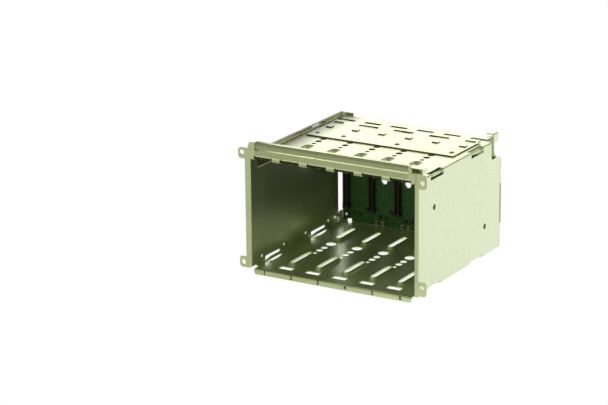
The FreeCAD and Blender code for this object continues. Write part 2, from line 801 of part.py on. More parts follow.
def board_holes():
    return screw_holes(-1, left_lug_middles) + screw_holes(1, right_lug_middles)


def backplane_board():
    board = box(-board_half, board_half, board_y, board_y + board_thickness,
                floor_z + board_foot, floor_z + board_top)
    lobe = box(board_half - board_lobe, board_half + board_lobe,
               board_y, board_y + board_thickness,
               floor_z + board_lobe_low, floor_z + board_lobe_high)
    openings = board_holes()
    openings += [rod(board_vent_bore, V(x, board_y - 1, floor_z + board_vent_height),
                     V(0, 1, 0), board_thickness + 2) for x in board_vents]
    notch_x = board_notch_place - board_half
    openings.append(box(notch_x, notch_x + board_notch_width,
                        board_y - 1, board_y + board_thickness + 1,
                        floor_z - 1, floor_z + board_notch_height))
    return cut(fuse([board, lobe]), openings)


def backplane_bracket():
    """Steel bar behind the upper edge of the board, tabbed up beside the top panel."""
    bar = box(-outer_half, board_half, bracket_y, bracket_y + bracket_sheet,
              bracket_low, bracket_top)
    notch_z = bracket_top - bracket_notch_height
    corner = box(bracket_notch, board_half + 1, bracket_y - 1, bracket_y + bracket_sheet + 1,
                 notch_z, bracket_top + 1)
    root = [edge for edge in corner.Edges
            if abs(edge.CenterOfMass.x - bracket_notch) < 1e-6
            and abs(edge.CenterOfMass.z - notch_z) < 1e-6]
    bar = bar.cut(corner.makeFillet(bracket_notch_fillet, root))
    tab = box(-outer_half, left_tab_width - outer_half, bracket_y, bracket_y + bracket_sheet,
              bracket_low, bracket_top + left_tab_rise)
    hook_section = [(bracket_notch, bracket_top - hook_drop),
                    (bracket_notch, bracket_top + hook_rise),
                    (bracket_notch - hook_width, bracket_top + hook_rise)]
    hook = bent_sheet(hook_section, 1, bracket_sheet, "xz", 0, hook_depth)
    hook.translate(V(0, bracket_y + hook_depth, 0))
    return cut(fuse([bar, tab, hook]), board_holes())


def drive_connector(bay):
    """Upright socket for one drive, with wider keyed ends and a long mouth."""
    x = bay_lines[bay] + connector_offset
    half = connector_width / 2.0
    low = floor_z + connector_low
    high = low + connector_length
    face = board_y - connector_depth
    body = box(x - half, x + half, face, board_y, low, high)
    ends = [box(x - half - connector_key, x + half + connector_key,
                face + connector_key, board_y, z, z + connector_end)
            for z in (low, high - connector_end)]
    mouth = box(x - connector_mouth_width / 2.0, x + connector_mouth_width / 2.0,
                face - 1, face + connector_mouth_depth,
                low + connector_mouth_margin, high - connector_mouth_margin)
    return fuse([body] + ends).cut(mouth)


def connector_contacts():
    """Gold contact strips, one down each side of every connector's mouth."""
    strips = []
    low = floor_z + connector_low + connector_mouth_margin + contact_margin
    high = low + connector_length - 2 * (connector_mouth_margin + contact_margin)
    face = board_y - connector_depth
    for x in (line + connector_offset for line in bay_lines):
        for side in (-1, 1):
            wall = x + side * connector_mouth_width / 2.0
            x0, x1 = sorted((wall, wall - side * contact_width))
            strips.append(box(x0, x1, face + contact_lead, face + connector_mouth_depth,
                              low, high))
    return strips


def small_parts(lines, places, size):
    """Surface-mounted parts on the front of the board, the same set on each line."""
    width, depth, height = size
    return [box(x + dx - width / 2.0, x + dx + width / 2.0, board_y - depth, board_y,
                floor_z + z - height / 2.0, floor_z + z + height / 2.0)
            for x in lines for dx, z in places]


def open_shroud(centre, size, wall):
    """Connector shroud on the rear of the board, open to the rear."""
    width, depth, height = size
    x, z = centre[0], floor_z + centre[1]
    outer = box(x - width / 2.0, x + width / 2.0, bracket_y, bracket_y + depth,
                z - height / 2.0, z + height / 2.0)
    inner = box(x - width / 2.0 + wall, x + width / 2.0 - wall, bracket_y + wall,
                bracket_y + depth + 1, z - height / 2.0 + wall, z + height / 2.0 - wall)
    return outer.cut(inner)


def signal_port():
    width, depth, height = signal_port_size
    x, z = signal_port_centre[0], floor_z + signal_port_centre[1]
    inset = signal_port_wall + signal_tongue
    tongue = box(x - width / 2.0 + inset, x + width / 2.0 - inset,
                 bracket_y, bracket_y + depth - signal_port_wall,
                 z - signal_tongue / 2.0, z + signal_tongue / 2.0)
    return fuse([open_shroud(signal_port_centre, signal_port_size, signal_port_wall), tongue])


def power_pins():
    depth = power_port_size[1]
    x, z = power_port_centre[0], floor_z + power_port_centre[1]
    spread = (power_pin_count - 1) / 2.0
    return [rod(power_pin_bore, V(x + (i - spread) * power_pin_pitch, bracket_y + power_port_wall, z),
                V(0, 1, 0), depth - 2 * power_port_wall) for i in range(power_pin_count)]


def chip(x, z, width, depth, height, leads):
    """Flat chip on the rear of the board with a comb of leads down each side."""
    body = box(x - width / 2.0, x + width / 2.0, bracket_y, bracket_y + depth,
               z - height / 2.0, z + height / 2.0)
    pitch = height / (leads + 1.0)
    combs = []
    for i in range(leads):
        middle = z - height / 2.0 + (i + 1) * pitch
        combs.append(box(x - width / 2.0 - lead_reach, x + width / 2.0 + lead_reach,
                         bracket_y, bracket_y + lead_thickness,
                         middle - lead_width / 2.0, middle + lead_width / 2.0))
    return fuse([body] + combs)


def can_capacitors():
    shapes = []
    for x, height in can_places:
        z = floor_z + height
        half = can_bore / 2.0 + can_base_margin
        base = box(x - half, x + half, bracket_y, bracket_y + can_base, z - half, z + half)
        can = rod(can_bore, V(x, bracket_y, z), V(0, 1, 0), can_height)
        rim = [edge for edge in can.Edges
               if abs(edge.CenterOfMass.y - bracket_y - can_height) < 1e-6]
        shapes.append(fuse([base, can.makeChamfer(can_round, rim)]))
    return shapes


def board_screws():
    shapes = []
    for x, z, seat in screw_places():
        end = rear_y - sheet - screw_end
        shank = rod(screw_bore, V(x, end, z), V(0, 1, 0), seat - end)
        head = rod(screw_head, V(x, seat, z), V(0, 1, 0), screw_head_height)
        rim = [edge for edge in head.Edges
               if abs(edge.CenterOfMass.y - seat - screw_head_height) < 1e-6]
        head = head.makeChamfer(screw_head_round, rim)
        arms = ((screw_recess_arm, screw_slot / 2.0), (screw_slot / 2.0, screw_recess_arm))
        recess = [box(x - u, x + u, seat + screw_head_height - screw_recess,
                      seat + screw_head_height + 1, z - v, z + v) for u, v in arms]
        shapes.append(cut(fuse([shank, head]), recess))
    return shapes


def blind_rivet(place, direction, grip, shank, tail_margin, head, height, core):
    """Set blind rivet: flanged head, shank, upset tail and its open core."""
    tail = place - direction * grip
    shapes = [rod(head, place, direction, height),
              rod(shank, tail - direction * height, direction, grip + height),
              rod(shank + 2 * tail_margin, tail - direction * height, direction, height)]
    hollow = rod(core, place - direction * (grip / 2.0), direction, grip + height + 1)
    return fuse(shapes).cut(hollow)


def beam_rivets():
    place = foot_z + sheet
    return [blind_rivet(V(x, beam_rivet_y, place), V(0, 0, 1), 3 * sheet,
                        rivet_shank, rivet_tail_margin, rivet_head, rivet_head_height,
                        rivet_core) for x in bay_lines]


def cover_rivets():
    place = top_z + cover_sheet
    return [blind_rivet(V(bay_lines[bay], cover_rivet_y, place), V(0, 0, 1),
                        cover_sheet + sheet, cover_rivet_shank, rivet_tail_margin,
                        cover_rivet_head, cover_rivet_height, cover_rivet_core)
            for bay in cover_rivet_bays]


def rail_rivets():
    return [blind_rivet(V(-inner_half + sheet, front_y + place, rail_rivet_z), V(1, 0, 0),
                        2 * sheet, rail_rivet_bore, rail_rivet_tail_margin, rail_rivet_head,
                        rail_rivet_height, rail_rivet_core)
            for place in rail_rivet_places]


def build():
    resistors = small_parts(bay_lines, resistor_places, resistor_size)
    resistors += small_parts(guide_lines, between_bays_places, resistor_size)
    nodes = {
        "floor_panel": floor_panel(),
        "left_side_wall": left_side_wall(),
        "right_side_wall": right_side_wall(),
        "top_panel": top_panel(),
        "front_top_beam": front_top_beam(),
        "keeper_box": keeper_box(),
        "left_doubler_plate": left_doubler_plate(),
        "top_cover_plate": cover_plate(),
        "beam_rivets": beam_rivets(),
        "cover_rivets": cover_rivets(),
        "rail_rivets": rail_rivets(),
        "backplane_board": backplane_board(),
        "backplane_bracket": backplane_bracket(),
        "backplane_screws": board_screws(),
        "connector_contacts": connector_contacts(),
        "front_capacitors": small_parts(bay_lines[1:], capacitor_places, capacitor_size),
        "front_resistor_packs": resistors,
        "signal_port": signal_port(),
        "power_port": open_shroud(power_port_centre, power_port_size, power_port_wall),
        "power_port_pins": power_pins(),
        "control_chip": chip(main_chip_centre[0], floor_z + main_chip_centre[1], main_chip_side,
                             main_chip_height, main_chip_side, main_chip_leads),
        "driver_chips": [chip(x, floor_z + z, *driver_chip_size, driver_chip_leads)
                         for x, z in driver_chip_places],
        "filter_capacitors": can_capacitors(),
    }
    for bay in range(bay_count):
        nodes["drive_connector_%d" % (bay + 1)] = drive_connector(bay)
    return nodes


os.makedirs("parts", exist_ok=True)
for name, shape in build().items():
    if isinstance(shape, list):
        shape = Part.makeCompound(shape)
    shape.exportStep(os.path.join("parts", name + ".step"))
    print(name, len(shape.Solids), "solids", round(shape.Volume), "mm3",
          "valid" if shape.isValid() else "NOT VALID")
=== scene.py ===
# Hot swap drive cage, photographed three-quarter from the front right on a light table.
# Metres, +Z up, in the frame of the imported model: bays open towards -Y.
import math

import bpy
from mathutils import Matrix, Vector


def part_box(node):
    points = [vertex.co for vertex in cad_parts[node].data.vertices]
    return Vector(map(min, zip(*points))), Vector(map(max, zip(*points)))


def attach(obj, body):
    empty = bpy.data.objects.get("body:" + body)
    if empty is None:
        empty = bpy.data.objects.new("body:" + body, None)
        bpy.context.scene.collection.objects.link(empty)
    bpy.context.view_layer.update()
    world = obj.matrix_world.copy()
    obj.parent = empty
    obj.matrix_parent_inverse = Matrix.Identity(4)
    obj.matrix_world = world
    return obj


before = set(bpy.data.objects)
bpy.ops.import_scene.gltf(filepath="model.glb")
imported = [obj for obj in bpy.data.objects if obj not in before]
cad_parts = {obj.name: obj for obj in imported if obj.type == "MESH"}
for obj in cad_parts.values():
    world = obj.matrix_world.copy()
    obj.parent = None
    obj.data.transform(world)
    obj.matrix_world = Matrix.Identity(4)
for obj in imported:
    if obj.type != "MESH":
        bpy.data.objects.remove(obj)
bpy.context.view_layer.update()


# Camera
# A long lens at about two metres, looking down on the cage from its right front corner.
# Place and angles were solved from the photograph's straight edges.
camera_place = (1.01878, -1.83471, 0.70785)
camera_turn = (72.7724, 0.5701, 30.7902)        # degrees
focal_length = 139.696
full_frame_width = 36.0
bpy.ops.object.select_all(action="DESELECT")
bpy.ops.object.camera_add(
    location=camera_place, rotation=[math.radians(angle) for angle in camera_turn])
camera = bpy.context.object
camera.name = "camera"
camera.data.lens = focal_length
camera.data.sensor_width = full_frame_width
camera.data.clip_end = 50.0
bpy.context.scene.camera = camera
bpy.context.scene.view_settings.view_transform = "Standard"
bpy.context.scene.view_settings.look = "None"


# Light table
# Opal acrylic sheet lit from below. The face that the lens sees is burnt out to plain white;
# the sheet just under it gives the light, brighter behind the cage than in front.
def linear(colour):
    """Linear colour of an sRGB hex value, as the shaders expect it."""
    parts = [int(colour[i:i + 2], 16) / 255.0 for i in (0, 2, 4)]
    return tuple(p / 12.92 if p <= 0.04045 else ((p + 0.055) / 1.055) ** 2.4
                 for p in parts) + (1.0,)


def new_material(name):
    """Empty node material."""
    material = bpy.data.materials.new(name)
    material.use_nodes = True
    material.node_tree.nodes.clear()
    return material


def add_node(material, kind, inputs=None, **settings):
    """Adds one node; an input is a value, or another node's output to link to."""
    tree = material.node_tree
    node = tree.nodes.new("ShaderNode" + kind)
    for name, value in settings.items():
        setattr(node, name, value)
    for socket, value in (inputs or {}).items():
        if isinstance(value, bpy.types.NodeSocket):
            tree.links.new(value, node.inputs[socket])
        else:
            node.inputs[socket].default_value = value
    return node


MM = 0.001
table_size = 14.0
face_depth = 0.2 * MM               # below the cage's lowest edge
sheet_depth = 0.4 * MM
glow_turn = math.radians(59.0)      # the brighter half lies behind the cage, to the right
glow_fade = (-0.12, 0.03)           # metres from the cage's middle, along that direction
front_glow = 0.57
rear_glow = 1.42
bpy.ops.mesh.primitive_plane_add(size=table_size, location=(0, 0, -face_depth))
table_face = bpy.context.object
table_face.name = "light_table_face"
white_face = new_material("overexposed_opal_acrylic")
surface = add_node(white_face, "Emission", {"Color": linear("FFFFFF"), "Strength": 1.0})
add_node(white_face, "OutputMaterial", {"Surface": surface.outputs[0]})
table_face.data.materials.append(white_face)
table_face.visible_diffuse = False
table_face.visible_glossy = False
table_face.visible_shadow = False
bpy.ops.mesh.primitive_plane_add(size=table_size, location=(0, 0, -sheet_depth))
table = bpy.context.object
table.name = "light_table"
table.visible_camera = False
opal_acrylic = new_material("opal_acrylic_sheet")
place = add_node(opal_acrylic, "TexCoord")
turned = add_node(opal_acrylic, "VectorRotate", {
    "Vector": place.outputs["Object"], "Angle": -glow_turn}, rotation_type="Z_AXIS")
split = add_node(opal_acrylic, "SeparateXYZ", {"Vector": turned.outputs[0]})
fade = add_node(opal_acrylic, "MapRange", {
    "Value": split.outputs["X"], "From Min": glow_fade[0], "From Max": glow_fade[1],
    "To Min": front_glow, "To Max": rear_glow}, interpolation_type="SMOOTHSTEP")
tint = add_node(opal_acrylic, "MapRange", {
    "Value": split.outputs["X"], "From Min": glow_fade[0], "From Max": glow_fade[1]})
glow_colour = add_node(opal_acrylic, "Mix", {
    "Factor": tint.outputs[0], "A": linear("FCFFFA"), "B": linear("E4E4FF")},
    data_type="RGBA")
surface = add_node(opal_acrylic, "BsdfPrincipled", {
    "Base Color": linear("5C5C58"), "Roughness": 0.7,
    "Emission Color": glow_colour.outputs["Result"], "Emission Strength": fade.outputs[0]})
add_node(opal_acrylic, "OutputMaterial", {"Surface": surface.outputs[0]})
table.data.materials.append(opal_acrylic)


# Studio light
# Soft boxes behind and to the right make the top and the right wall the bright sides, one
# overhead picks out the ledges, and a wide dim one in front reaches into the bays.
soft_boxes = {      # place, two sides, watts, colour
    "rear_box": ((-1.6, 2.6, 1.3), (3.4, 2.0), 42.0, "EEF0FF"),
    "right_box": ((2.6, 2.0, 1.3), (2.6, 2.2), 40.0, "EAEBFA"),
    "overhead_box": ((-1.0, 0.45, 1.8), (1.1, 0.9), 13.0, "FFFFFA"),
    "front_box": ((-0.3, -2.6, 1.1), (4.4, 1.3), 12.0, "FFFDF2"),
}
cage_middle = Vector((0, 0, 0.06))
room_strength = 0.31        # white walls some way off
for name, (place, size, power, colour) in soft_boxes.items():
    aim = (cage_middle - Vector(place)).to_track_quat("-Z", "Y")
    bpy.ops.object.light_add(type="AREA", location=place, rotation=aim.to_euler())
    light = bpy.context.object
    light.name = name
    light.data.shape = "RECTANGLE"
    light.data.size, light.data.size_y = size
    light.data.energy = power
    light.data.color = linear(colour)[:3]
    light.visible_camera = False
world = bpy.data.worlds.new("studio")
bpy.context.scene.world = world
world.use_nodes = True
room = world.node_tree.nodes["Background"]
room.inputs["Color"].default_value = linear("E4E6DE")
room.inputs["Strength"].default_value = room_strength


# Folded sheet: floor, right side wall, keeper box and bracket
# Hot-dip galvanised steel, 1 mm, passivated to a pale olive. It gives the eye a soft satin
# reflection, faint crystals of zinc and long marks from the rolls of the mill. The other
# panels wear copies of it. Beside the rail, the top panel's upper face has a painted shade:
# a darker olive that stands for the dark reflected there.
spangle_size = 2.6              # millimetres across a zinc crystal
roll_mark_size = 2.2            # across one mark of the rolls
roll_mark_stretch = 0.08        # pattern's scale along the marks, against 1 across them
smudge_size = 45.0              # from one wiped patch to the next
grain_size = 0.9                # the real grain is finer; coarser here so that it shows
grain_depth = 0.03
wave_size = 24.0                # slack in the sheet, from one wave to the next
wave_depth = 0.35               # the bump's strength halves it
top_above_doubler = 2.9         # top panel's upper face above the doubler plate's upper edge
rail_shade_reach = (-82.0, -50.0)     # across the top panel, from the rail to where the painted shade ends
rail_shade_margin = 0.4               # below the top panel's upper face
rail_shade_slope = 0.7                # the painted shade lies on faces that look up at least this much
zinc = new_material("galvanised_steel_sheet")
place = add_node(zinc, "TexCoord")
spangle = add_node(zinc, "TexVoronoi", {
    "Vector": place.outputs["Object"], "Scale": 1000.0 / spangle_size, "Randomness": 1.0})
spangle_tone = add_node(zinc, "SeparateColor", {"Color": spangle.outputs["Color"]})
marks_space = add_node(zinc, "Mapping", {
    "Vector": place.outputs["Object"], "Scale": (1.0, 1.0, roll_mark_stretch)})
roll_marks = add_node(zinc, "TexNoise", {
    "Vector": marks_space.outputs[0], "Scale": 1000.0 / roll_mark_size, "Detail": 3.0})
smudges = add_node(zinc, "TexNoise", {
    "Vector": place.outputs["Object"], "Scale": 1000.0 / smudge_size, "Detail": 4.0})
tone = add_node(zinc, "Math", {0: spangle_tone.outputs[0], 1: roll_marks.outputs[0]},
                operation="ADD")
tone_scaled = add_node(zinc, "MapRange", {
    "Value": tone.outputs[0], "From Min": 0.3, "From Max": 1.7, "To Min": 0.0, "To Max": 1.0})
zinc_colour = add_node(zinc, "ValToRGB", {"Fac": tone_scaled.outputs[0]})
zinc_colour.color_ramp.elements[0].color = linear("CDD4A0")
zinc_colour.color_ramp.elements[1].color = linear("D5DCA8")
zinc_roughness = add_node(zinc, "MapRange", {
    "Value": smudges.outputs[0], "From Min": 0.3, "From Max": 0.7,
    "To Min": 0.26, "To Max": 0.36})
grain = add_node(zinc, "TexNoise", {
    "Vector": place.outputs["Object"], "Scale": 1000.0 / grain_size, "Detail": 2.0})
grain_bump = add_node(zinc, "Bump", {
    "Height": grain.outputs[0], "Strength": 0.25, "Distance": grain_depth * MM})
waves = add_node(zinc, "TexNoise", {
    "Vector": place.outputs["Object"], "Scale": 1000.0 / wave_size, "Detail": 1.0})
wave_bump = add_node(zinc, "Bump", {
    "Height": waves.outputs[0], "Strength": 0.5, "Distance": wave_depth * MM,
    "Normal": grain_bump.outputs[0]})
top_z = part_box("left_doubler_plate")[1][2] + top_above_doubler * MM
place_axes = add_node(zinc, "SeparateXYZ", {"Vector": place.outputs["Object"]})
facing = add_node(zinc, "NewGeometry")
facing_axes = add_node(zinc, "SeparateXYZ", {"Vector": facing.outputs["Normal"]})
# Painted shade: a darker olive on the top panel's upper face, fading out away from the rail.
beside_rail = add_node(zinc, "MapRange", {
    "Value": place_axes.outputs["X"], "From Min": rail_shade_reach[0] * MM,
    "From Max": rail_shade_reach[1] * MM, "To Min": 1.0, "To Max": 0.0},
    interpolation_type="SMOOTHSTEP")
on_top = add_node(zinc, "Math", {0: place_axes.outputs["Z"], 1: top_z - rail_shade_margin * MM},
                  operation="GREATER_THAN")
looks_up = add_node(zinc, "Math", {0: facing_axes.outputs["Z"], 1: rail_shade_slope},
                    operation="GREATER_THAN")
rail_shade_faces = add_node(zinc, "Math", {0: on_top.outputs[0], 1: looks_up.outputs[0]},
                operation="MULTIPLY")
rail_shade_depth = add_node(zinc, "Math", {0: rail_shade_faces.outputs[0], 1: beside_rail.outputs[0]},
                      operation="MULTIPLY")
rail_shaded_colour = add_node(zinc, "Mix", {
    "Factor": rail_shade_depth.outputs[0], "A": zinc_colour.outputs[0], "B": linear("5C5A26")},
    data_type="RGBA")
surface = add_node(zinc, "BsdfPrincipled", {
    "Base Color": rail_shaded_colour.outputs["Result"], "Metallic": 0.75,
    "Roughness": zinc_roughness.outputs[0], "Normal": wave_bump.outputs[0]})
add_node(zinc, "OutputMaterial", {"Surface": surface.outputs[0]})


def dress(node_names, material):
    """Gives CAD nodes their finish."""
    for node_name in node_names:
        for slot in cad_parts[node_name].material_slots:
            slot.material = material


dress(["floor_panel", "right_side_wall", "keeper_box", "backplane_bracket"], zinc)


# Left side wall
# The same sheet. The upper half of the inner face is painted darker, a painted shade inside
# the cage, and the tongues turned in behind the bays are painted dark, a painted shade too.
def copied_sheet(name):
    """Copy of the sheet's material, and its shader."""
    material = zinc.copy()
    material.name = name
    shader = next(n for n in material.node_tree.nodes if n.type == "BSDF_PRINCIPLED")
    return material, shader


def recolour(material, shader, mask, hex_colour):
    """Puts another colour over what the sheet has, where the mask is 1."""
    colour_so_far = shader.inputs["Base Color"].links[0].from_socket
    mixed = add_node(material, "Mix", {
        "Factor": mask, "A": colour_so_far, "B": linear(hex_colour)}, data_type="RGBA")
    material.node_tree.links.new(mixed.outputs["Result"], shader.inputs["Base Color"])


painted_shade_reach = (28.0, 70.0)        # millimetres up the wall, from no painted shade to full painted shade
inner_face_x = -84.8            # millimetres across; the inner face is to the right of it
tongue_x = -83.4                # the tongues are to the right of it
shaded_left_sheet, shader = copied_sheet("oiled_galvanised_steel_sheet_heated_at_lugs")
place = add_node(shaded_left_sheet, "TexCoord")
axes = add_node(shaded_left_sheet, "SeparateXYZ", {"Vector": place.outputs["Object"]})
tongues = add_node(shaded_left_sheet, "Math", {0: axes.outputs["X"], 1: tongue_x * MM},
                   operation="GREATER_THAN")
inner_face = add_node(shaded_left_sheet, "Math", {0: axes.outputs["X"], 1: inner_face_x * MM},
                      operation="GREATER_THAN")
painted_shade_rise = add_node(shaded_left_sheet, "MapRange", {
    "Value": axes.outputs["Z"], "From Min": painted_shade_reach[0] * MM, "From Max": painted_shade_reach[1] * MM},
    interpolation_type="SMOOTHSTEP")
painted_shade_inside = add_node(shaded_left_sheet, "Math", {0: inner_face.outputs[0], 1: painted_shade_rise.outputs[0]},
                 operation="MULTIPLY")
# Painted shade: the inner face darker towards the top.
recolour(shaded_left_sheet, shader, painted_shade_inside.outputs[0], "A2AC86")
# Painted shade: the tongues behind the bays dark.
recolour(shaded_left_sheet, shader, tongues.outputs[0], "45482C")
dress(["left_side_wall"], shaded_left_sheet)


# Top panel and cover plate
# The same sheet, punched and sheared. Its cut edges are painted dark, a painted shade in the
# holes, and so is the hem that shows below the front beam, a painted shade under the beam.
upright_slope = 0.5             # a face that looks up less than this is a cut edge
cut_depth = 1.1                 # millimetres, the sheet's own thickness and a little more
rail_x = -82.5                  # the rail is to the left of it, and is left without the painted shade
hem_depth = 1.6                 # from the front flanges to the back of the hem
front_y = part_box("left_side_wall")[0][1]
punched, shader = copied_sheet("galvanised_steel_sheet_with_dull_cut_edges")
place = add_node(punched, "TexCoord")
axes = add_node(punched, "SeparateXYZ", {"Vector": place.outputs["Object"]})
facing = add_node(punched, "NewGeometry")
facing_axes = add_node(punched, "SeparateXYZ", {"Vector": facing.outputs["Normal"]})
steepness = add_node(punched, "Math", {0: facing_axes.outputs["Z"]}, operation="ABSOLUTE")
upright = add_node(punched, "Math", {0: steepness.outputs[0], 1: upright_slope},
                   operation="LESS_THAN")
in_sheet = add_node(punched, "Math", {0: axes.outputs["Z"], 1: top_z - cut_depth * MM},
                    operation="GREATER_THAN")
off_rail = add_node(punched, "Math", {0: axes.outputs["X"], 1: rail_x * MM},
                    operation="GREATER_THAN")
cut_edge = add_node(punched, "Math", {0: upright.outputs[0], 1: in_sheet.outputs[0]},
                    operation="MULTIPLY")
cut_off_rail = add_node(punched, "Math", {0: cut_edge.outputs[0], 1: off_rail.outputs[0]},
                        operation="MULTIPLY")
# Painted shade: the cut edges off the rail dark.
recolour(punched, shader, cut_off_rail.outputs[0], "56532E")
# Painted shade: the hem below the beam dark.
hem = add_node(punched, "Math", {0: axes.outputs["Y"], 1: front_y + hem_depth * MM},
               operation="LESS_THAN")
recolour(punched, shader, hem.outputs[0], "2A2C1A")
dress(["top_panel", "top_cover_plate"], punched)


# Front beam
# A channel rolled and folded from the same sheet. Its colour is painted by height: painted
# highlights along the folds and painted shade on the set-back band between them.
beam_half = 79.4                # millimetres from the middle to where the folds end
beam_span = (-4.0, 16.0)        # heights from the top panel's face that the tones cover
brightest = 1.7                 # most that a tone may be; the plain sheet is 1
beam_painted_light = (      # height from the top panel's face, tone there
    (-3.6, 0.8), (-2.2, 1.1), (-1.4, 0.9), (0.0, 0.58), (0.7, 0.85), (1.4, 1.2),
    (2.1, 1.3), (2.7, 1.0), (3.3, 0.76), (6.6, 0.76), (7.3, 0.95), (8.0, 1.35),
    (8.6, 1.1), (9.2, 0.64), (11.4, 0.7), (12.0, 0.48), (13.8, 0.47), (14.5, 0.75))
beam_sheet, shader = copied_sheet("galvanised_steel_sheet_rubbed_at_folds")
plain_colour = shader.inputs["Base Color"].links[0].from_socket
place = add_node(beam_sheet, "TexCoord")
axes = add_node(beam_sheet, "SeparateXYZ", {"Vector": place.outputs["Object"]})
height = add_node(beam_sheet, "MapRange", {
    "Value": axes.outputs["Z"], "From Min": top_z + beam_span[0] * MM,
    "From Max": top_z + beam_span[1] * MM})
tones = add_node(beam_sheet, "ValToRGB", {"Fac": height.outputs[0]})
ramp = tones.color_ramp
while len(ramp.elements) < len(beam_painted_light):
    ramp.elements.new(0.5)
for element, (level, tone_there) in zip(ramp.elements, beam_painted_light):
    element.position = (level - beam_span[0]) / (beam_span[1] - beam_span[0])
    element.color = [tone_there / brightest] * 3 + [1.0]
folded_tone = add_node(beam_sheet, "MapRange", {
    "Value": tones.outputs[0], "From Min": 0.0, "From Max": 1.0,
    "To Min": 0.0, "To Max": brightest})
folded_length = add_node(beam_sheet, "Math", {0: axes.outputs["X"]}, operation="ABSOLUTE")
in_folds = add_node(beam_sheet, "Math", {0: folded_length.outputs[0], 1: beam_half * MM},
                    operation="LESS_THAN")
# Painted highlights and shade: the sheet's colour scaled by height along the beam.
tone_here = add_node(beam_sheet, "Mix", {
    "Factor": in_folds.outputs[0], "A": 1.0, "B": folded_tone.outputs[0]}, data_type="FLOAT")
beam_painted_colour = add_node(beam_sheet, "VectorMath", {0: plain_colour, "Scale": tone_here.outputs[0]},
                  operation="SCALE")
beam_sheet.node_tree.links.new(beam_painted_colour.outputs[0], shader.inputs["Base Color"])
dress(["front_top_beam"], beam_sheet)


# Closing tabs at the ends of the beam
# A flap of the end plate, folded back over the end of the set-back band at either side.
tab_middle = (79.6 * MM, front_y + 0.85 * MM, top_z + 11.4 * MM)
tab_size = (0.8 * MM, 1.9 * MM, 6.4 * MM)
tab_rounding = 0.2 * MM
for side, hand in ((-1, "left"), (1, "right")):
    bpy.ops.object.select_all(action="DESELECT")
    bpy.ops.mesh.primitive_cube_add(size=1.0, location=(
        side * tab_middle[0], tab_middle[1], tab_middle[2]))
    tab = bpy.context.object
    tab.name = "%s_closing_tab" % hand
    tab.scale = tab_size
    bpy.ops.object.transform_apply(location=True, rotation=True, scale=True)
    edge = tab.modifiers.new("rounded_edges", "BEVEL")
    edge.width = tab_rounding
    edge.segments = 2
    bpy.ops.object.modifier_apply(modifier=edge.name)
    tab.data.materials.append(zinc)
    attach(tab, "root")


# Doubler plate inside the left wall
# A patch of dark brown steel, welded on behind the upper ear. A near-white bead runs along
# its lower edge: a painted highlight where the edge catches the light.
plate_patch_size = 3.0                 # millimetres from one darker patch to the next
highlight_streak_size = 1.2           # along the edge, from one streak of the highlight to the next
bead_size = 0.9 * MM            # a little less than the sheet's thickness
bead_offset = 0.1 * MM          # up from the plate's edge, and past its inner face
bead_rounding = 0.25 * MM
doubler_dark_material = new_material("dark_brown_steel_plate")
place = add_node(doubler_dark_material, "TexCoord")
plate_patches = add_node(doubler_dark_material, "TexNoise", {
    "Vector": place.outputs["Object"], "Scale": 1000.0 / plate_patch_size, "Detail": 3.0})
plate_colour = add_node(doubler_dark_material, "ValToRGB", {"Fac": plate_patches.outputs[0]})
plate_colour.color_ramp.elements[0].color = linear("4A4528")
plate_colour.color_ramp.elements[1].color = linear("625C38")
surface = add_node(doubler_dark_material, "BsdfPrincipled", {
    "Base Color": plate_colour.outputs[0], "Metallic": 0.4, "Roughness": 0.55})
add_node(doubler_dark_material, "OutputMaterial", {"Surface": surface.outputs[0]})
dress(["left_doubler_plate"], doubler_dark_material)
# Painted highlight: a near-white bead along the plate's lower edge.
edge_highlight = new_material("near_white_painted_highlight")
place = add_node(edge_highlight, "TexCoord")
highlight_streaks = add_node(edge_highlight, "TexNoise", {
    "Vector": place.outputs["Object"], "Scale": 1000.0 / highlight_streak_size, "Detail": 2.0})
highlight_colour = add_node(edge_highlight, "ValToRGB", {"Fac": highlight_streaks.outputs[0]})
highlight_colour.color_ramp.elements[0].color = linear("EEF0D8")
highlight_colour.color_ramp.elements[1].color = linear("FCFDF0")
surface = add_node(edge_highlight, "BsdfPrincipled", {
    "Base Color": highlight_colour.outputs[0], "Metallic": 0.2, "Roughness": 0.4})
add_node(edge_highlight, "OutputMaterial", {"Surface": surface.outputs[0]})
plate_low, plate_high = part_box("left_doubler_plate")
bpy.ops.object.select_all(action="DESELECT")
bpy.ops.mesh.primitive_cube_add(size=1.0, location=(
    plate_high[0] + bead_offset, (plate_low[1] + plate_high[1]) / 2.0,
    plate_low[2] + bead_offset))
bead = bpy.context.object
bead.name = "doubler_edge_painted_highlight"
bead.scale = (bead_size, plate_high[1] - plate_low[1], bead_size)
bpy.ops.object.transform_apply(location=True, rotation=True, scale=True)
edge = bead.modifiers.new("rounded_edges", "BEVEL")
edge.width = bead_rounding
edge.segments = 2
bpy.ops.object.modifier_apply(modifier=edge.name)
bead.data.materials.append(edge_highlight)
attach(bead, "root")


# Bay numbers on the floor's front lip
# Figures 1 to 6, printed in black ink by a stamp pad, one below the middle of each bay.
bay_count = 6
bay_pitch = 28.4 * MM
first_bay = -(bay_count - 1) / 2.0 * bay_pitch
figure_height = 3.7 * MM
height_share = 0.7              # a figure's height against the size of its type
figure_middle = 2.7 * MM        # above the lip's lower edge
ink_thickness = 0.03 * MM
ink_spread = 0.2 * MM           # the pad's ink runs a little past the figure
ink_cover_size = 0.8            # millimetres from thick ink to thin
lip_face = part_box("floor_panel")[0][1]
ink = new_material("black_stamp_ink")
place = add_node(ink, "TexCoord")
ink_cover = add_node(ink, "TexNoise", {
    "Vector": place.outputs["Object"], "Scale": 1000.0 / ink_cover_size, "Detail": 3.0})
ink_colour = add_node(ink, "ValToRGB", {"Fac": ink_cover.outputs[0]})
ink_colour.color_ramp.elements[0].color = linear("17180F")
ink_colour.color_ramp.elements[1].color = linear("2C2E20")
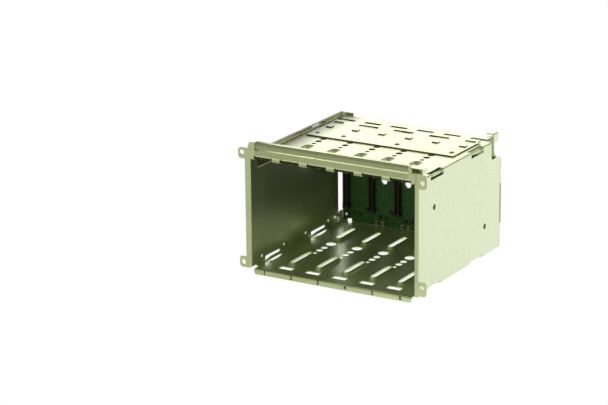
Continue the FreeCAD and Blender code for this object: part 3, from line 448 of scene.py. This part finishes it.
surface = add_node(ink, "BsdfPrincipled", {
    "Base Color": ink_colour.outputs[0], "Roughness": 0.65})
add_node(ink, "OutputMaterial", {"Surface": surface.outputs[0]})
for bay in range(bay_count):
    bpy.ops.object.select_all(action="DESELECT")
    bpy.ops.object.text_add(rotation=(math.pi / 2, 0, 0))
    figure = bpy.context.object
    figure.name = "bay_number_%d" % (bay + 1)
    figure.data.body = str(bay + 1)
    figure.data.align_x = "CENTER"
    figure.data.align_y = "CENTER"
    figure.data.size = figure_height / height_share
    figure.data.extrude = ink_thickness
    figure.data.offset = ink_spread
    figure.location = (first_bay + bay * bay_pitch, lip_face, figure_middle)
    bpy.ops.object.convert(target="MESH")
    bpy.ops.object.transform_apply(location=True, rotation=True, scale=True)
    figure.data.materials.clear()
    figure.data.materials.append(ink)
    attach(figure, "root")


# Rivets and screws
# Zinc-plated steel, brighter and smoother than the sheet, dulled where a tool gripped them. The
# cover plate's rivets are aluminium, gone grey-green and matt in the open.
handling_size = 1.5             # millimetres from one worn spot to the next
bloom_size = 1.2                # the same for the bloom on the aluminium
plated = new_material("zinc_plated_fastener_steel")
place = add_node(plated, "TexCoord")
handling = add_node(plated, "TexNoise", {
    "Vector": place.outputs["Object"], "Scale": 1000.0 / handling_size, "Detail": 3.0})
plated_colour = add_node(plated, "ValToRGB", {"Fac": handling.outputs[0]})
plated_colour.color_ramp.elements[0].color = linear("B6BC98")
plated_colour.color_ramp.elements[1].color = linear("D2D6BA")
plated_roughness = add_node(plated, "MapRange", {
    "Value": handling.outputs[0], "From Min": 0.3, "From Max": 0.7,
    "To Min": 0.22, "To Max": 0.4})
surface = add_node(plated, "BsdfPrincipled", {
    "Base Color": plated_colour.outputs[0], "Metallic": 1.0,
    "Roughness": plated_roughness.outputs[0]})
add_node(plated, "OutputMaterial", {"Surface": surface.outputs[0]})
dress(["beam_rivets", "rail_rivets", "backplane_screws"], plated)
dulled = new_material("dulled_aluminium_eyelet")
place = add_node(dulled, "TexCoord")
bloom = add_node(dulled, "TexNoise", {
    "Vector": place.outputs["Object"], "Scale": 1000.0 / bloom_size, "Detail": 3.0})
dulled_colour = add_node(dulled, "ValToRGB", {"Fac": bloom.outputs[0]})
dulled_colour.color_ramp.elements[0].color = linear("787C50")
dulled_colour.color_ramp.elements[1].color = linear("909466")
surface = add_node(dulled, "BsdfPrincipled", {
    "Base Color": dulled_colour.outputs[0], "Metallic": 0.7, "Roughness": 0.5})
add_node(dulled, "OutputMaterial", {"Surface": surface.outputs[0]})
dress(["cover_rivets"], dulled)


# Backplane board
# Glass-fibre laminate with a glossy green solder mask over copper tracks, which show as
# lighter lines a little proud of the laminate.
track_pitch = 2.6               # millimetres from one track to the next
track_halves = (0.35, 0.6)      # from a track's middle to its shoulder, and to its foot
track_depth = 0.05              # a track's height under the mask
route_size = 26.0               # from where the tracks run up to where they run across
route_bend = 0.012              # metres that the tracks stray by
mottle_size = 7.0               # cloudy flow of the solder mask
mottle_share = 0.6              # most of the paler green that the flow lets through
sawn_margin = 0.05              # in from the board's end, so that its face counts as sawn
board = new_material("green_solder_mask_on_laminate")
place = add_node(board, "TexCoord")
split = add_node(board, "SeparateXYZ", {"Vector": place.outputs["Object"]})
routes = add_node(board, "TexNoise", {
    "Vector": place.outputs["Object"], "Scale": 1000.0 / route_size, "Detail": 0.0})
bent = add_node(board, "Math", {0: routes.outputs[0], 1: route_bend}, operation="MULTIPLY")
across = add_node(board, "Math", {0: split.outputs["X"], 1: bent.outputs[0]}, operation="ADD")
along = add_node(board, "Math", {0: split.outputs["Z"], 1: bent.outputs[0]}, operation="ADD")
upright = add_node(board, "Math", {0: across.outputs[0], 1: track_pitch * MM},
                   operation="PINGPONG")
level = add_node(board, "Math", {0: along.outputs[0], 1: track_pitch * MM},
                 operation="PINGPONG")
area = add_node(board, "Math", {0: routes.outputs[0], 1: 0.5}, operation="GREATER_THAN")
track_line = add_node(board, "Mix", {
    "Factor": area.outputs[0], "A": upright.outputs[0], "B": level.outputs[0]},
    data_type="FLOAT")
track = add_node(board, "MapRange", {
    "Value": track_line.outputs[0], "From Min": track_halves[0] * MM,
    "From Max": track_halves[1] * MM, "To Min": 1.0, "To Max": 0.0})
mask_colour = add_node(board, "Mix", {
    "Factor": track.outputs[0], "A": linear("1E5220"), "B": linear("2A6A2C")},
    data_type="RGBA")
flow = add_node(board, "TexNoise", {
    "Vector": place.outputs["Object"], "Scale": 1000.0 / mottle_size, "Detail": 3.0})
mottle = add_node(board, "MapRange", {
    "Value": flow.outputs[0], "From Min": 0.35, "From Max": 0.65,
    "To Min": 0.0, "To Max": mottle_share})
mottled_colour = add_node(board, "Mix", {
    "Factor": mottle.outputs[0], "A": mask_colour.outputs["Result"], "B": linear("38702C")},
    data_type="RGBA")
from_middle = add_node(board, "Math", {0: split.outputs["X"]}, operation="ABSOLUTE")
sawn_edge = add_node(board, "Math", {
    0: from_middle.outputs[0], 1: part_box("backplane_board")[1][0] - sawn_margin * MM},
    operation="GREATER_THAN")
board_colour = add_node(board, "Mix", {
    "Factor": sawn_edge.outputs[0], "A": mottled_colour.outputs["Result"],
    "B": linear("7E9A50")}, data_type="RGBA")
track_bump = add_node(board, "Bump", {
    "Height": track.outputs[0], "Strength": 0.4, "Distance": track_depth * MM})
surface = add_node(board, "BsdfPrincipled", {
    "Base Color": board_colour.outputs["Result"], "Roughness": 0.36, "IOR": 1.5,
    "Normal": track_bump.outputs[0]})
add_node(board, "OutputMaterial", {"Surface": surface.outputs[0]})
dress(["backplane_board"], board)


# Solder tails on the rear of the board
# Two rows of tinned wire ends to each drive connector, with their cones of bright solder. Only
# the run below the bracket shows, so only that is made.
tail_pitch = 1.9 * MM
tails_in_row = 22
row_gap = 2.6 * MM
cone_foot = 0.62 * MM           # radius of the solder on the board
cone_tip = 0.2 * MM
cone_height = 1.0 * MM
cone_middle = 0.45 * MM         # behind the board, so that the foot is sunk in a little
connector_offset = -8.2 * MM    # connector's middle from the middle of its bay
end_gap = 3.0 * MM              # connector's lower end to its lowest tail
solder_flow_size = 0.5
rear_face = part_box("backplane_board")[1][1]
lowest_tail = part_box("drive_connector_1")[0][2] + end_gap
solder = new_material("tin_lead_solder")
place = add_node(solder, "TexCoord")
flow = add_node(solder, "TexNoise", {
    "Vector": place.outputs["Object"], "Scale": 1000.0 / solder_flow_size, "Detail": 2.0})
solder_roughness = add_node(solder, "MapRange", {
    "Value": flow.outputs[0], "From Min": 0.3, "From Max": 0.7, "To Min": 0.2, "To Max": 0.4})
surface = add_node(solder, "BsdfPrincipled", {
    "Base Color": linear("C4C6C0"), "Metallic": 1.0, "Roughness": solder_roughness.outputs[0]})
add_node(solder, "OutputMaterial", {"Surface": surface.outputs[0]})
bpy.ops.object.select_all(action="DESELECT")
bpy.ops.mesh.primitive_cone_add(
    vertices=6, radius1=cone_foot, radius2=cone_tip, depth=cone_height,
    location=(first_bay + connector_offset - row_gap / 2.0, rear_face + cone_middle,
              lowest_tail), rotation=(-math.pi / 2, 0, 0))
tails = bpy.context.object
tails.name = "connector_solder_tails"
bpy.ops.object.transform_apply(location=True, rotation=True, scale=True)
for label, count, step in (("row", tails_in_row, (0, 0, tail_pitch)),
                           ("second_row", 2, (row_gap, 0, 0)),
                           ("bays", bay_count, (bay_pitch, 0, 0))):
    run = tails.modifiers.new(label, "ARRAY")
    run.count = count
    run.use_relative_offset = False
    run.use_constant_offset = True
    run.constant_offset_displace = step
    bpy.ops.object.modifier_apply(modifier=run.name)
tails.data.materials.append(solder)
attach(tails, "root")


# Drive connectors and signal port
# Glass-filled polyester, moulded black, with the fine dull grain of the mould.
mould_grain_size = 0.7          # the real grain is finer; coarser here so that it shows
mould_grain_depth = 0.02
black_plastic = new_material("moulded_black_polyester")
place = add_node(black_plastic, "TexCoord")
mould_grain = add_node(black_plastic, "TexNoise", {
    "Vector": place.outputs["Object"], "Scale": 1000.0 / mould_grain_size, "Detail": 2.0})
black_tone = add_node(black_plastic, "ValToRGB", {"Fac": mould_grain.outputs[0]})
black_tone.color_ramp.elements[0].color = linear("1A1712")
black_tone.color_ramp.elements[1].color = linear("2A251D")
black_bump = add_node(black_plastic, "Bump", {
    "Height": mould_grain.outputs[0], "Strength": 0.3, "Distance": mould_grain_depth * MM})
surface = add_node(black_plastic, "BsdfPrincipled", {
    "Base Color": black_tone.outputs[0], "Roughness": 0.5, "IOR": 1.5,
    "Normal": black_bump.outputs[0]})
add_node(black_plastic, "OutputMaterial", {"Surface": surface.outputs[0]})
dress(["signal_port"] + ["drive_connector_%d" % (bay + 1) for bay in range(bay_count)],
      black_plastic)


# Contacts
# Phosphor bronze springs, gold plated where the drive's plug wipes along them. The gold is
# painted darker and browner than bright gold, a painted shade deep in the connectors.
wipe_size = 0.6                 # millimetres from one wiped streak to the next
gold = new_material("gold_plated_bronze_painted_darker_for_shade")
place = add_node(gold, "TexCoord")
wipe = add_node(gold, "TexNoise", {
    "Vector": place.outputs["Object"], "Scale": 1000.0 / wipe_size, "Detail": 2.0})
# Painted shade: the gold's colour darkened.
gold_colour = add_node(gold, "ValToRGB", {"Fac": wipe.outputs[0]})
gold_colour.color_ramp.elements[0].color = linear("A9854A")
gold_colour.color_ramp.elements[1].color = linear("C29C5C")
surface = add_node(gold, "BsdfPrincipled", {
    "Base Color": gold_colour.outputs[0], "Metallic": 1.0, "Roughness": 0.25})
add_node(gold, "OutputMaterial", {"Surface": surface.outputs[0]})
dress(["connector_contacts"], gold)


# Small parts on the front of the board
# Fired ceramic capacitors, tan and matt, and glazed black resistor packs.
tinned_length = 0.9             # millimetres of tin at either end of a capacitor
speckle_size = 0.5              # from one grain of the ceramic to the next
glaze_flow_size = 1.0
ceramic = new_material("fired_ceramic_with_tinned_ends")
place = add_node(ceramic, "TexCoord")
speckle = add_node(ceramic, "TexNoise", {
    "Vector": place.outputs["Object"], "Scale": 1000.0 / speckle_size, "Detail": 2.0})
ceramic_tone = add_node(ceramic, "ValToRGB", {"Fac": speckle.outputs[0]})
ceramic_tone.color_ramp.elements[0].color = linear("6E5A38")
ceramic_tone.color_ramp.elements[1].color = linear("8C7448")
split = add_node(ceramic, "SeparateXYZ", {"Vector": place.outputs["Object"]})
capacitor_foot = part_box("front_capacitors")[0][2]
capacitor_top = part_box("front_capacitors")[1][2]
from_centre = add_node(ceramic, "Math", {
    0: split.outputs["Z"], 1: (capacitor_foot + capacitor_top) / 2.0}, operation="SUBTRACT")
end_distance = add_node(ceramic, "Math", {0: from_centre.outputs[0]}, operation="ABSOLUTE")
tinned_end = add_node(ceramic, "Math", {
    0: end_distance.outputs[0], 1: (capacitor_top - capacitor_foot) / 2.0 - tinned_length * MM},
    operation="GREATER_THAN")
capacitor_colour = add_node(ceramic, "Mix", {
    "Factor": tinned_end.outputs[0], "A": ceramic_tone.outputs[0], "B": linear("CFCFC2")},
    data_type="RGBA")
surface = add_node(ceramic, "BsdfPrincipled", {
    "Base Color": capacitor_colour.outputs["Result"], "Metallic": tinned_end.outputs[0],
    "Roughness": 0.45, "IOR": 1.6})
add_node(ceramic, "OutputMaterial", {"Surface": surface.outputs[0]})
dress(["front_capacitors"], ceramic)
glaze = new_material("black_resistor_glaze")
place = add_node(glaze, "TexCoord")
flow = add_node(glaze, "TexNoise", {
    "Vector": place.outputs["Object"], "Scale": 1000.0 / glaze_flow_size, "Detail": 2.0})
glaze_tone = add_node(glaze, "ValToRGB", {"Fac": flow.outputs[0]})
glaze_tone.color_ramp.elements[0].color = linear("1E1C18")
glaze_tone.color_ramp.elements[1].color = linear("34302A")
surface = add_node(glaze, "BsdfPrincipled", {
    "Base Color": glaze_tone.outputs[0], "Roughness": 0.3, "IOR": 1.5})
add_node(glaze, "OutputMaterial", {"Surface": surface.outputs[0]})
dress(["front_resistor_packs"], glaze)


# Power port and its pins
# Ivory nylon shroud, faintly translucent, round four tinned brass pins.
cloud_size = 4.0                # millimetres from one milky patch to the next
milky_depth = 1.5 * MM          # how far light strays inside the nylon
bath_mark_size = 1.2            # from one mark of the tin bath to the next
nylon = new_material("moulded_ivory_nylon")
place = add_node(nylon, "TexCoord")
cloud = add_node(nylon, "TexNoise", {
    "Vector": place.outputs["Object"], "Scale": 1000.0 / cloud_size, "Detail": 2.0})
nylon_tone = add_node(nylon, "ValToRGB", {"Fac": cloud.outputs[0]})
nylon_tone.color_ramp.elements[0].color = linear("D8CFB2")
nylon_tone.color_ramp.elements[1].color = linear("E6DEC4")
surface = add_node(nylon, "BsdfPrincipled", {
    "Base Color": nylon_tone.outputs[0], "Roughness": 0.42, "IOR": 1.53,
    "Subsurface Weight": 0.15, "Subsurface Scale": milky_depth})
add_node(nylon, "OutputMaterial", {"Surface": surface.outputs[0]})
dress(["power_port"], nylon)
tin = new_material("tinned_brass")
place = add_node(tin, "TexCoord")
bath = add_node(tin, "TexNoise", {
    "Vector": place.outputs["Object"], "Scale": 1000.0 / bath_mark_size, "Detail": 2.0})
tin_roughness = add_node(tin, "MapRange", {
    "Value": bath.outputs[0], "From Min": 0.3, "From Max": 0.7, "To Min": 0.15, "To Max": 0.3})
surface = add_node(tin, "BsdfPrincipled", {
    "Base Color": linear("D5D6CF"), "Metallic": 1.0, "Roughness": tin_roughness.outputs[0]})
add_node(tin, "OutputMaterial", {"Surface": surface.outputs[0]})
dress(["power_port_pins"], tin)


# Chips
# Moulded epoxy, dark grey and matt, with tinned leads where the body ends.
filler_size = 0.4               # the glass filler is finer; coarser here so that it shows
lead_height = 0.5               # millimetres from the foot of a lead to the body
epoxy = new_material("moulded_epoxy_with_tinned_leads")
place = add_node(epoxy, "TexCoord")
filler = add_node(epoxy, "TexNoise", {
    "Vector": place.outputs["Object"], "Scale": 1000.0 / filler_size, "Detail": 2.0})
epoxy_tone = add_node(epoxy, "ValToRGB", {"Fac": filler.outputs[0]})
epoxy_tone.color_ramp.elements[0].color = linear("1D1D1F")
epoxy_tone.color_ramp.elements[1].color = linear("2E2E30")
split = add_node(epoxy, "SeparateXYZ", {"Vector": place.outputs["Object"]})
lead_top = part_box("control_chip")[0][1] + lead_height * MM
lead_mask = add_node(epoxy, "Math", {0: split.outputs["Y"], 1: lead_top}, operation="LESS_THAN")
chip_colour = add_node(epoxy, "Mix", {
    "Factor": lead_mask.outputs[0], "A": epoxy_tone.outputs[0], "B": linear("C9CAC2")},
    data_type="RGBA")
chip_roughness = add_node(epoxy, "Mix", {
    "Factor": lead_mask.outputs[0], "A": 0.55, "B": 0.28}, data_type="FLOAT")
surface = add_node(epoxy, "BsdfPrincipled", {
    "Base Color": chip_colour.outputs["Result"], "Metallic": lead_mask.outputs[0],
    "Roughness": chip_roughness.outputs[0]})
add_node(epoxy, "OutputMaterial", {"Surface": surface.outputs[0]})
dress(["control_chip", "driver_chips"], epoxy)


# Can capacitors
# Drawn aluminium cans, satin, each crimped over a black plastic base.
draw_mark_size = 0.6            # millimetres from one mark of the draw to the next
draw_mark_stretch = 0.06        # pattern's scale along the marks, against 1 across them
base_height = 1.5               # millimetres of black base under each can
can = new_material("drawn_aluminium_can_on_black_base")
place = add_node(can, "TexCoord")
drawn_space = add_node(can, "Mapping", {
    "Vector": place.outputs["Object"], "Scale": (1.0, draw_mark_stretch, 1.0)})
drawn = add_node(can, "TexNoise", {
    "Vector": drawn_space.outputs[0], "Scale": 1000.0 / draw_mark_size, "Detail": 2.0})
can_tone = add_node(can, "ValToRGB", {"Fac": drawn.outputs[0]})
can_tone.color_ramp.elements[0].color = linear("C6C7C2")
can_tone.color_ramp.elements[1].color = linear("DEDFDA")
split = add_node(can, "SeparateXYZ", {"Vector": place.outputs["Object"]})
base_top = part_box("filter_capacitors")[0][1] + base_height * MM
can_mask = add_node(can, "Math", {0: split.outputs["Y"], 1: base_top}, operation="GREATER_THAN")
can_colour = add_node(can, "Mix", {
    "Factor": can_mask.outputs[0], "A": linear("1C1C1C"), "B": can_tone.outputs[0]},
    data_type="RGBA")
surface = add_node(can, "BsdfPrincipled", {
    "Base Color": can_colour.outputs["Result"], "Metallic": can_mask.outputs[0],
    "Roughness": 0.3})
add_node(can, "OutputMaterial", {"Surface": surface.outputs[0]})
dress(["filter_capacitors"], can)
